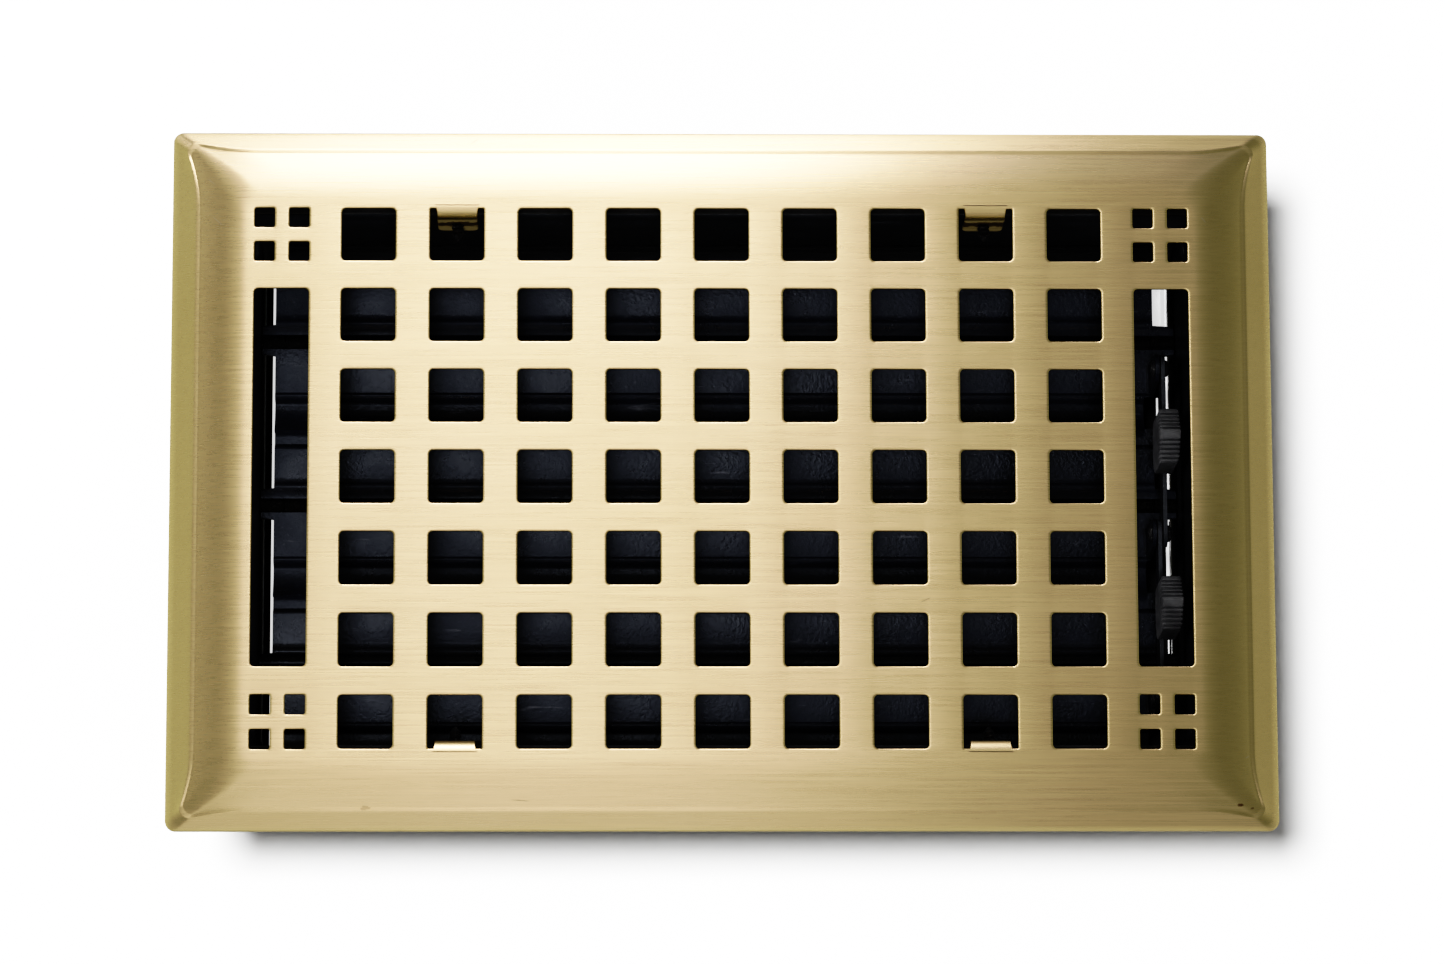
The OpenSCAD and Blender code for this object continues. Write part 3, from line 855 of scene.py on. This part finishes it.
def thread(length, radius, point, pitch):
    """Rings of a cut thread with a pointed end, along the local axis from 0."""
    segments, rows_to_a_turn, thread_depth = 20, 8, 0.38
    rows = int(length / pitch * rows_to_a_turn)
    core = radius - thread_depth
    rings = []
    for i in range(rows + 1):
        along = length * i / rows
        fade = min(1.0, (length - along) / point)
        ring = []
        for j in range(segments):
            turn = j / segments
            wave = abs(((along / pitch - turn) % 1.0) * 2 - 1)
            r = (core + (radius - core) * (1 - wave) ** 0.8) * (0.12 + 0.88 * fade)
            a = 2 * math.pi * turn
            ring.append(Vector((r * math.cos(a), r * math.sin(a), along)))
        rings.append(ring)
    return rings


def cross_recess(obj, centre, direction, span, width, depth):
    """Cuts a tapered cross into a screw head; gives the cutter."""
    above, taper = 0.4, 0.55
    tool = Shell()
    spin = Vector(direction).to_track_quat("Z", "X")
    for quarter in (0, 90):
        turn = Matrix.Rotation(math.radians(quarter), 3, "Z")
        rings = []
        for along, shrink in ((above, 1.0), (-depth, taper)):
            a, b = span * shrink, width * (0.5 + shrink / 2)
            rings.append([
                Vector(centre) + spin @ (turn @ Vector((x, y, along)))
                for x, y in ((-a, -b), (a, -b), (a, b), (-a, b))
            ])
        tool.add(*loft(rings))
    cutter = new_object("recess_tool", tool.mesh("recess_tool"))
    cut = obj.modifiers.new("recess", "BOOLEAN")
    cut.operation = "DIFFERENCE"
    cut.object = cutter
    cut.solver = "EXACT"
    cut.use_self = True
    return cutter


def tab_screws():
    """Pan-head self-tapping screws driven through the long walls into the tabs."""
    low, high = node_box("tab_screws")
    z = (low.z + high.z) / 2
    head = (high.z - low.z) / 2
    seat = high.y - SCREW_HEAD
    profile = [
        (-0.02, 0.05), (0.0, head * 0.97), (0.15, head), (0.9, head * 0.97),
        (1.45, head * 0.86), (1.85, head * 0.66), (2.05, head * 0.38), (SCREW_HEAD, 0.05),
    ]
    shell = Shell()
    places = []
    for side in (-1, 1):
        for row in (-1, 1):
            x = side * TAB_COLUMN * COLUMN_PITCH
            spin = Vector((0, -row, 0)).to_track_quat("Z", "X")
            origin = Vector((x, row * seat, z))
            shank = thread(SCREW_LENGTH, SCREW_RADIUS, SCREW_POINT, SCREW_PITCH)
            shell.add(*loft([[origin + spin @ p for p in ring] for ring in shank]))
            shell.add(*turned(profile, origin, (0, row, 0)))
            places.append(((x, row * high.y, z), (0, row, 0)))
    obj = shell.piece("tab_screw_set", OXIDE, "casing", "black_screw", ["tab_screws"], angle=45)
    span, width, depth = 1.7, 0.33, 1.2
    cutters = [cross_recess(obj, place, way, span, width, depth) for place, way in places]
    baked = bpy.data.meshes.new_from_object(
        obj.evaluated_get(bpy.context.evaluated_depsgraph_get())
    )
    obj.modifiers.clear()
    obj.data = baked
    for cutter in cutters:
        bpy.data.objects.remove(cutter)


# ---------- Louvre blades ----------


def ridge(y, width):
    """A rounded bead pressed into the flat."""
    height, steps = 0.6, 8
    return [
        (y + width / 2 - width * i / steps, FLAT_LEVEL + height * math.sin(math.pi * i / steps))
        for i in range(steps + 1)
    ]


def blade_line():
    """Middle line of a blade's section, from its rear edge to its front lip."""
    mouth = math.degrees(math.asin(FLAT_LEVEL / CHANNEL_RADIUS))
    rear = rounded_line([(21.5, -0.2), (16.8, -0.2), (15.7, FLAT_LEVEL), (12.0, FLAT_LEVEL)], 0.7)
    line = [tuple(p) for p in rear[:-1]] + [(10.0, FLAT_LEVEL), (7.8, FLAT_LEVEL)]
    line += ridge(5.0, 2.4)
    line += arc((0, 0), CHANNEL_RADIUS, mouth, -180 - mouth, 30)
    line += [(-3.3, FLAT_LEVEL), (-3.9, FLAT_LEVEL), (-5.8, FLAT_LEVEL), (-10.0, FLAT_LEVEL)]
    line += ridge(-14.9, 1.4)
    line += [(-15.95, 0.5), (-16.3, -0.2), (-16.8, -0.38)]
    for i in range(9):
        u = i / 8
        line.append((-17.4 - 7.5 * u, -0.3 + 3.3 * u * u))
    return [Vector(p) for p in line]


def blade_ends(y, ear_face):
    """Left and right end of the blade at a distance from its pivot. The channel runs out to
    the end walls, and the right end steps back where the ear and the link are."""
    tongue = END_LOW.x - END_PLAY
    widen = min(max(min((4.7 - y) / 0.4, (y + 3.9) / 0.6), 0.0), 1.0)
    left = BLADE_LEFT - (tongue + BLADE_LEFT) * widen
    if y >= -3.0:
        return left, BLADE_RIGHT + (tongue - BLADE_RIGHT) * widen
    shoulder = ear_face + EAR_SHEET
    if y >= -4.0:
        return left, shoulder + (tongue - shoulder) * widen
    if y >= -14.9:
        return left, shoulder
    return left, LIP_RIGHT


def crank_ear(origin, ear_face):
    """The upright plate on the blade's right end, with a fillet at its foot."""
    base = FLAT_LEVEL - BLADE_SHEET / 2
    outline = [(-5.8, base)]
    outline += arc((-PIN_BACK, PIN_RISE), EAR_RADIUS, 8, 172, 18)
    outline += [(-14.85, base)]
    shell = Shell()
    points, faces = prism(outline, ear_face, ear_face + EAR_SHEET, "x")
    shell.add([Vector(p) + origin for p in points], faces)
    top, inner = FLAT_LEVEL + BLADE_SHEET / 2, ear_face - EAR_FILLET
    bend = [(inner, top - 0.2), (ear_face + 0.2, top - 0.2), (ear_face + 0.2, top + EAR_FILLET)]
    bend += arc((inner, top + EAR_FILLET), EAR_FILLET, 0, -90, 6)
    points, faces = prism(bend, -14.2, -6.2, "y")
    shell.add([Vector(p) + origin for p in points], faces)
    return shell


def blade(name, ear_face):
    """A roll-formed blade, its section drawn along X and its ends cut to shape."""
    origin = Vector((0, PIVOTS[name].y, PIVOTS[name].z))
    line = blade_line()
    above = offset_line(line, -BLADE_SHEET / 2)
    below = offset_line(line, BLADE_SHEET / 2)
    rings = []
    for middle, top, bottom in zip(line, above, below):
        left, right = blade_ends(middle.x, ear_face)
        rings.append([
            Vector((left, top.x, top.y)) + origin,
            Vector((right, top.x, top.y)) + origin,
            Vector((right, bottom.x, bottom.y)) + origin,
            Vector((left, bottom.x, bottom.y)) + origin,
        ])
    shell = Shell().add(*loft(rings))
    ear = crank_ear(origin, ear_face)
    shell.add(ear.points, ear.faces)
    shell.piece(
        "louvre_sheet_" + name, BLADE_PAINT, name + "_louvre", "black_blade", ["blade_" + name],
        0.14, 50,
    )


def pivot_pins(name):
    """Turned stub pins: a shank in the blade's channel and a journal in the end wall."""
    tip = node_box("pivot_pins_" + name)[1].x
    shoulder = END_LOW.x - END_PLAY
    shank, neck, journal = 2.44, 2.2, 2.0
    profile = [
        (shoulder - 12.0, 0.05), (shoulder - 12.0, 1.9), (shoulder - 11.5, shank),
        (shoulder - 6.4, shank), (shoulder - 6.2, neck), (shoulder - 5.6, neck),
        (shoulder - 5.4, shank), (shoulder - 0.2, shank), (shoulder, 2.25), (shoulder, journal),
        (tip - 0.3, journal), (tip, 1.7), (tip, 0.9), (tip - 0.25, 0.5), (tip - 0.3, 0.05),
    ]
    origin = (0, PIVOTS[name].y, PIVOTS[name].z)
    shell = Shell()
    for side in (-1, 1):
        shell.add(*turned(profile, origin, (side, 0, 0)))
    shell.piece(
        "pivot_stubs_" + name, OXIDE, name + "_louvre", "black_screw", ["pivot_pins_" + name],
        angle=30,
    )


def crank_rivet(name):
    """The clinched pin through the ear, with a domed head on either side."""
    low, high = node_box("crank_rivet_" + name)
    origin = (0, (low.y + high.y) / 2, (low.z + high.z) / 2)
    head, pin, dome = (high.z - low.z) / 2, 1.46, 1.2
    profile = rivet_profile(low.x + dome, high.x - dome, pin, head, dome)
    shell = Shell().add(*turned(profile, origin, (1, 0, 0), 28))
    shell.piece(
        "crank_pin_" + name, OXIDE, name + "_louvre", "black_screw", ["crank_rivet_" + name],
        angle=50,
    )


# ---------- Linkage and knobs ----------


def link_bar(name):
    """A flat bar round at both ends, with an upright tab that carries the knob."""
    low, high = node_box("link_bar_" + name)
    radius, fillet, corner = LINK_RADIUS, LINK_FILLET, LINK_TAB_CORNER
    z = low.z + radius
    rear, front = high.y - radius, low.y + radius
    tab_middle = (rear + front) / 2 + KNOB_SHIFT
    outline = arc((front, z), radius, 90, 270, 16) + arc((rear, z), radius, -90, 90, 16)
    for side in (1, -1):
        foot = tab_middle + side * (LINK_TAB_HALF + fillet)
        curve = arc((foot, z + radius + fillet), fillet, 270, 270 - side * 90, 5)
        corner_middle = (tab_middle + side * (LINK_TAB_HALF - corner), high.z - corner)
        top = arc(corner_middle, corner, 90 - side * 90, 90, 4)
        outline += curve + top if side == 1 else top[::-1] + curve[::-1]
    shell = Shell().add(*prism(outline, low.x, high.x, "x"))
    shell.piece(
        "link_plate_" + name, BOX_PAINT, name + "_link", "black_box", ["link_bar_" + name],
        0.15, 50,
    )


def knob_station(ribbed, height, width, low):
    """One cross section of a knob, in (X, Z), with its two upper corners rounded. In a
    groove, where ribbed is 1, it is lower and narrower."""
    top = height - 0.85 * ribbed
    side = width / 2 - 0.22 * ribbed
    waist = side + 0.12 * ribbed
    points = [(-width / 2 * 0.97, low), (-width / 2, low + 0.6), (-width / 2, height - 7.0)]
    points.append((-waist, height - 3.4))
    soft = 1.1
    for a in (180, 157, 135, 112, 90):
        c, s = math.cos(math.radians(a)), math.sin(math.radians(a))
        points.append((-side + soft + soft * c, top - soft + soft * s))
    points.append((0.4, top))
    soft = 0.45
    points += arc((side - soft, top - soft), soft, 90, 0, 3)
    points += [
        (waist, height - 3.4), (width / 2, height - 7.0),
        (width / 2, low + 0.6), (width / 2 * 0.97, low),
    ]
    return points


def knob_roof(y, half, peak):
    """Two straight slopes that meet in a slightly rounded ridge."""
    return peak - KNOB_DROP * (math.sqrt(y * y + 0.04) - 0.2) / half


def rib_stations(start):
    """(distance from the peak, depth of the groove from 0 to 1) over the ribs."""
    groove = [
        (0.0, 0.06), (0.14, 0.8), (0.3, 1.0), (0.46, 0.8), (0.62, 0.06), (0.78, 0.0), (0.95, 0.0),
    ]
    return [(start + RIB_PITCH * rib + at, dip) for rib in range(RIBS) for at, dip in groove]


def thumb_knob(name):
    """A moulded knob with a roof-shaped top: a smooth ridge and five ribs to each side."""
    low, high = node_box("thumb_knob_" + name)
    middle = (low.y + high.y) / 2
    centre_x = (low.x + high.x) / 2
    half = (high.y - low.y) / 2
    width = high.x - low.x
    peak = high.z - 0.05
    rear_tops = [(0.0, 0.0), (0.2, 0.0), (0.45, 0.0)] + rib_stations(0.74)
    front_tops = [(0.2, 0.0), (0.6, 0.0), (1.1, 0.0), (1.45, 0.0)] + rib_stations(1.64)
    rear = [(y, dip, 0.0) for y, dip in rear_tops]
    rear += [(half - 0.5, 0.0, 0.05), (half - 0.15, 0.0, 0.4), (half, 0.0, 1.1)]
    front = [(-y, dip, 0.0) for y, dip in front_tops]
    front += [(-half + 0.16, 0.0, 0.25), (-half + 0.05, 0.0, 0.8), (-half, 0.0, 2.0)]
    rings = []
    for y, dip, drop in front[::-1] + rear:
        spread = (y / half) ** 2
        wide = width - 0.3 * spread - 0.9 * spread ** 6
        top = knob_roof(y, half, peak) - drop
        ring = knob_station(dip, top, wide, low.z)
        rings.append([(centre_x + x, middle + y, z) for x, z in ring])
    shell = Shell().add(*loft(rings))
    shell.piece(
        "knob_body_" + name, PLASTIC, name + "_link", "grey_plastic", ["thumb_knob_" + name],
        angle=42,
    )


# ---------- Stage, light and camera ----------


def floor_material(name, level):
    """A matt, faintly clouded grey."""
    material, tree, shader = new_material(name)
    shade = remap(tree, noise(tree, 4.0, detail=2), 0.3, 0.7, 0.0, 1.0)
    tones = [(level * k, level * k, level * k, 1) for k in (0.98, 1.02)]
    base = mix_colour(tree, shade, *tones)
    tree.links.new(base, shader.inputs["Base Color"])
    shader.inputs["Roughness"].default_value = 0.8
    shader.inputs["Specular IOR Level"].default_value = 0.1
    return material


def stage_plane(name, span_x, span_y, z, material):
    mesh = bpy.data.meshes.new(name)
    corners = [
        (span_x[0], span_y[0], z), (span_x[1], span_y[0], z),
        (span_x[1], span_y[1], z), (span_x[0], span_y[1], z),
    ]
    mesh.from_pydata([Vector(c) * MM for c in corners], [], [(0, 1, 2, 3)])
    mesh.materials.append(material)
    obj = new_object(name, mesh)
    obj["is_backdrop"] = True
    return obj


def stage():
    """A pale floor under the box. Inside the box's footprint a dark panel gives painted shade, and
    glowing panels that light nothing give painted light, which shows through the gaps beside the
    blades."""
    low = cad_box[0].z / MM
    pale = floor_material("pale_floor", 0.88)
    ground = stage_plane("floor", (-9000, 9000), (-9000, 9000), low - 0.6, pale)
    ground.visible_glossy = False
    # Painted light: panels that glow but light nothing, standing for the lit floor seen through
    # the gaps
    painted_light, _, shader = new_material("painted_light_panel")
    shader.inputs["Base Color"].default_value = (0.8, 0.8, 0.8, 1)
    shader.inputs["Emission Color"].default_value = (1, 1, 1, 1)
    shader.inputs["Emission Strength"].default_value = 0.85
    edge, side = END_LOW.x - 0.3, WALL_HIGH.y - WALL_LIP - 1.5
    # Painted shade: a dark panel laid on the floor inside the box's footprint
    dark = floor_material("painted_shade_in_the_box", 0.02)
    stage_plane("box_shade", (-edge, edge), (-side, side), low - 0.4, dark)
    for name, span_x, span_y in (
        ("left", (-121.9, -118.0), (-side, side)),
        ("right_rear", (122.2, 123.8), (0.0, side)),
        ("right_front", (122.7, 123.6), (-27.0, 0.0)),
        ("right_slit", (122.85, 123.2), (-side, -27.0)),
        ("knob_gap", (120.6, 121.15), (29.0, 34.5)),
        ("corner", (119.2, 123.3), (46.0, side)),
    ):
        panel = stage_plane("light_table_" + name, span_x, span_y, low - 0.2, painted_light)
        panel.visible_diffuse = False
        panel.visible_glossy = False


def new_light(name, kind, place, target, receivers):
    """A light turned to its target. It falls on the receivers only; all objects shade it."""
    obj = new_object(name, bpy.data.lights.new(name, kind))
    obj.location = Vector(place) * MM
    way = (Vector(target) - Vector(place)).normalized()
    obj.rotation_mode = "QUATERNION"
    obj.rotation_quaternion = way.to_track_quat("-Z", "Y")
    group = bpy.data.collections.new(name + "_receivers")
    for receiver in receivers:
        group.objects.link(receiver)
    obj.light_linking.receiver_collection = group
    return obj


def sheen_light(name, place, target, size_x, size_y, radiance, colour, receivers):
    """A softbox, its sizes in metres, that only shows as a reflection."""
    obj = new_light(name, "AREA", place, target, receivers)
    obj.data.shape = "RECTANGLE"
    obj.data.size, obj.data.size_y = size_x, size_y
    obj.data.energy = radiance * math.pi * size_x * size_y
    obj.data.color = colour
    obj.visible_diffuse = False
    obj.visible_camera = False


def sun_light(name, toward, strength, softness, receivers, shadow=True):
    """A distant soft light, seen in no reflection; its softness is an angle in degrees."""
    obj = new_light(name, "SUN", toward, (0, 0, 0), receivers)
    obj.data.energy = strength
    obj.data.angle = math.radians(softness)
    obj.data.use_shadow = shadow
    obj.visible_glossy = False


def lights():
    """A strip light over the rear long side gives the brass its sheen, and a box above
    shows in the blades' paint. Soft suns make the floor's shadow and light the inside."""
    floors = [o for o in bpy.data.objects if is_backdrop(o)]
    plate = bpy.data.objects["faceplate_shell"]
    inner = [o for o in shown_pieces() if o is not plate]
    moving = [o for o in inner if o.name.startswith(("louvre", "link", "knob", "crank"))]
    glossed = moving + [bpy.data.objects["stop_angle"], bpy.data.objects["tab_screw_set"]]
    sun_light("floor_key", (-225, -15, 1000), 8.4, 13, floors)
    sun_light("floor_fill", (0, 0, 1000), 0.8, 100, floors)
    sun_light("inside_key", (-30, -265, 1000), 4.4, 8, moving + [plate])
    knobs = [o for o in inner if o.name.startswith("knob")]
    sun_light("knob_fill", (-1000, -100, 200), 3.8, 20, knobs, shadow=False)
    for name, toward in (
        ("left", (-1000, 0, 200)), ("right", (1000, 0, 200)),
        ("rear", (0, 1000, 200)), ("front", (0, -1000, 200)),
    ):
        sun_light("wall_fill_" + name, toward, 7.0, 40, inner)
    warm, cool = (1.0, 0.87, 1.18), (0.92, 1.0, 1.18)
    sheen_light("strip", (-67, 1150, 1200), (-67, 0, 0), 0.339, 0.9, 10.2, warm, [plate])
    sheen_light("rear_left_box", (-400, 1500, 1300), (-100, 0, 0), 0.3, 0.4, 5.0, warm, [plate])
    sheen_light("left_box", (-980, 1480, 1250), (-140, 60, 0), 0.5, 0.5, 2.6, warm, [plate])
    sheen_light("front_strip", (-110, -680, 1380), (-110, 0, 0), 0.4, 1.1, 0.85, warm, [plate])
    sheen_light("inside_box", (-180, 300, 1500), (-180, 0, 0), 0.42, 0.5, 2.2, cool, glossed)


def world():
    """A pale room, brightest at its left and darkest right of the middle, for gloss only."""
    world_data = bpy.data.worlds.new("studio")
    bpy.context.scene.world = world_data
    world_data.use_nodes = True
    tree = world_data.node_tree
    back = tree.nodes["Background"]
    way = add_node(tree, "ShaderNodeTexCoord").outputs["Generated"]
    x = add_node(tree, "ShaderNodeSeparateXYZ", {0: way}).outputs["X"]
    ramp = add_node(tree, "ShaderNodeValToRGB", {0: remap(tree, x, -1, 1, 0, 1)})
    levels = [
        (0.0, 0.7), (0.15, 0.56), (0.28, 0.25), (0.4, 0.26), (0.5, 0.27), (0.62, 0.15),
        (0.72, 0.18), (0.8, 0.32), (0.9, 0.38), (1.0, 0.4),
    ]
    stops = ramp.color_ramp.elements
    while len(stops) < len(levels):
        stops.new(0.5)
    for stop, (place, level) in zip(stops, levels):
        stop.position = place
        stop.color = (level, 0.99 * level, 0.88 * level, 1)
    tree.links.new(ramp.outputs[0], back.inputs["Color"])
    back.inputs["Strength"].default_value = 1.0
    world_data.cycles_visibility.diffuse = False


def tone():
    """A camera's response: a short toe, and a long shoulder that holds the highlights."""
    view = bpy.context.scene.view_settings
    view.view_transform = "Standard"
    view.use_curve_mapping = True
    mapping = view.curve_mapping
    white = 2.5
    mapping.white_level = (white, white, white)
    curve = mapping.curves[3]
    response = [
        (0.02, 0.004), (0.05, 0.022), (0.1, 0.07), (0.2, 0.17), (0.4, 0.385), (0.7, 0.6),
        (1.0, 0.75), (1.5, 0.89), (2.0, 0.96),
    ]
    for level, shown in response:
        curve.points.new(level / white, shown)
    mapping.update()


def camera():
    """Above the plate, tilted towards its front long side, on a long lens."""
    data = bpy.data.cameras.new("camera")
    data.lens = 156.2
    data.sensor_width = 36.0
    data.clip_start, data.clip_end = 0.01, 50.0
    obj = new_object("camera", data)
    obj.location = Vector((-31.6, -305.5, 1626.0)) * MM
    ahead = Vector((0.0192, 0.1843, -0.9827)).normalized()
    up = Vector((-0.0007, 0.983, 0.184))
    right = ahead.cross(up).normalized()
    up = right.cross(ahead)
    turn = Matrix((right, up, -ahead)).transposed()
    obj.rotation_mode = "QUATERNION"
    obj.rotation_quaternion = turn.to_quaternion()
    bpy.context.scene.camera = obj


def build():
    """The pieces first, then the stage and its light."""
    camera()
    faceplate()
    long_walls()
    end_walls()
    stop_strip()
    corner_rivets()
    tab_screws()
    # An ear's left face is its sheet and a small gap left of the link bar
    front_ear = node_box("link_bar_front")[0].x - EAR_SHEET - 0.3
    rear_ear = node_box("link_bar_rear")[0].x - EAR_SHEET - 0.4
    blade("rear", rear_ear)
    blade("middle", front_ear)
    blade("front", front_ear)
    for name in ("rear", "middle", "front"):
        pivot_pins(name)
        crank_rivet(name)
    for name in ("rear", "front"):
        link_bar(name)
        thumb_knob(name)
    stage()
    lights()
    world()
    tone()


build()
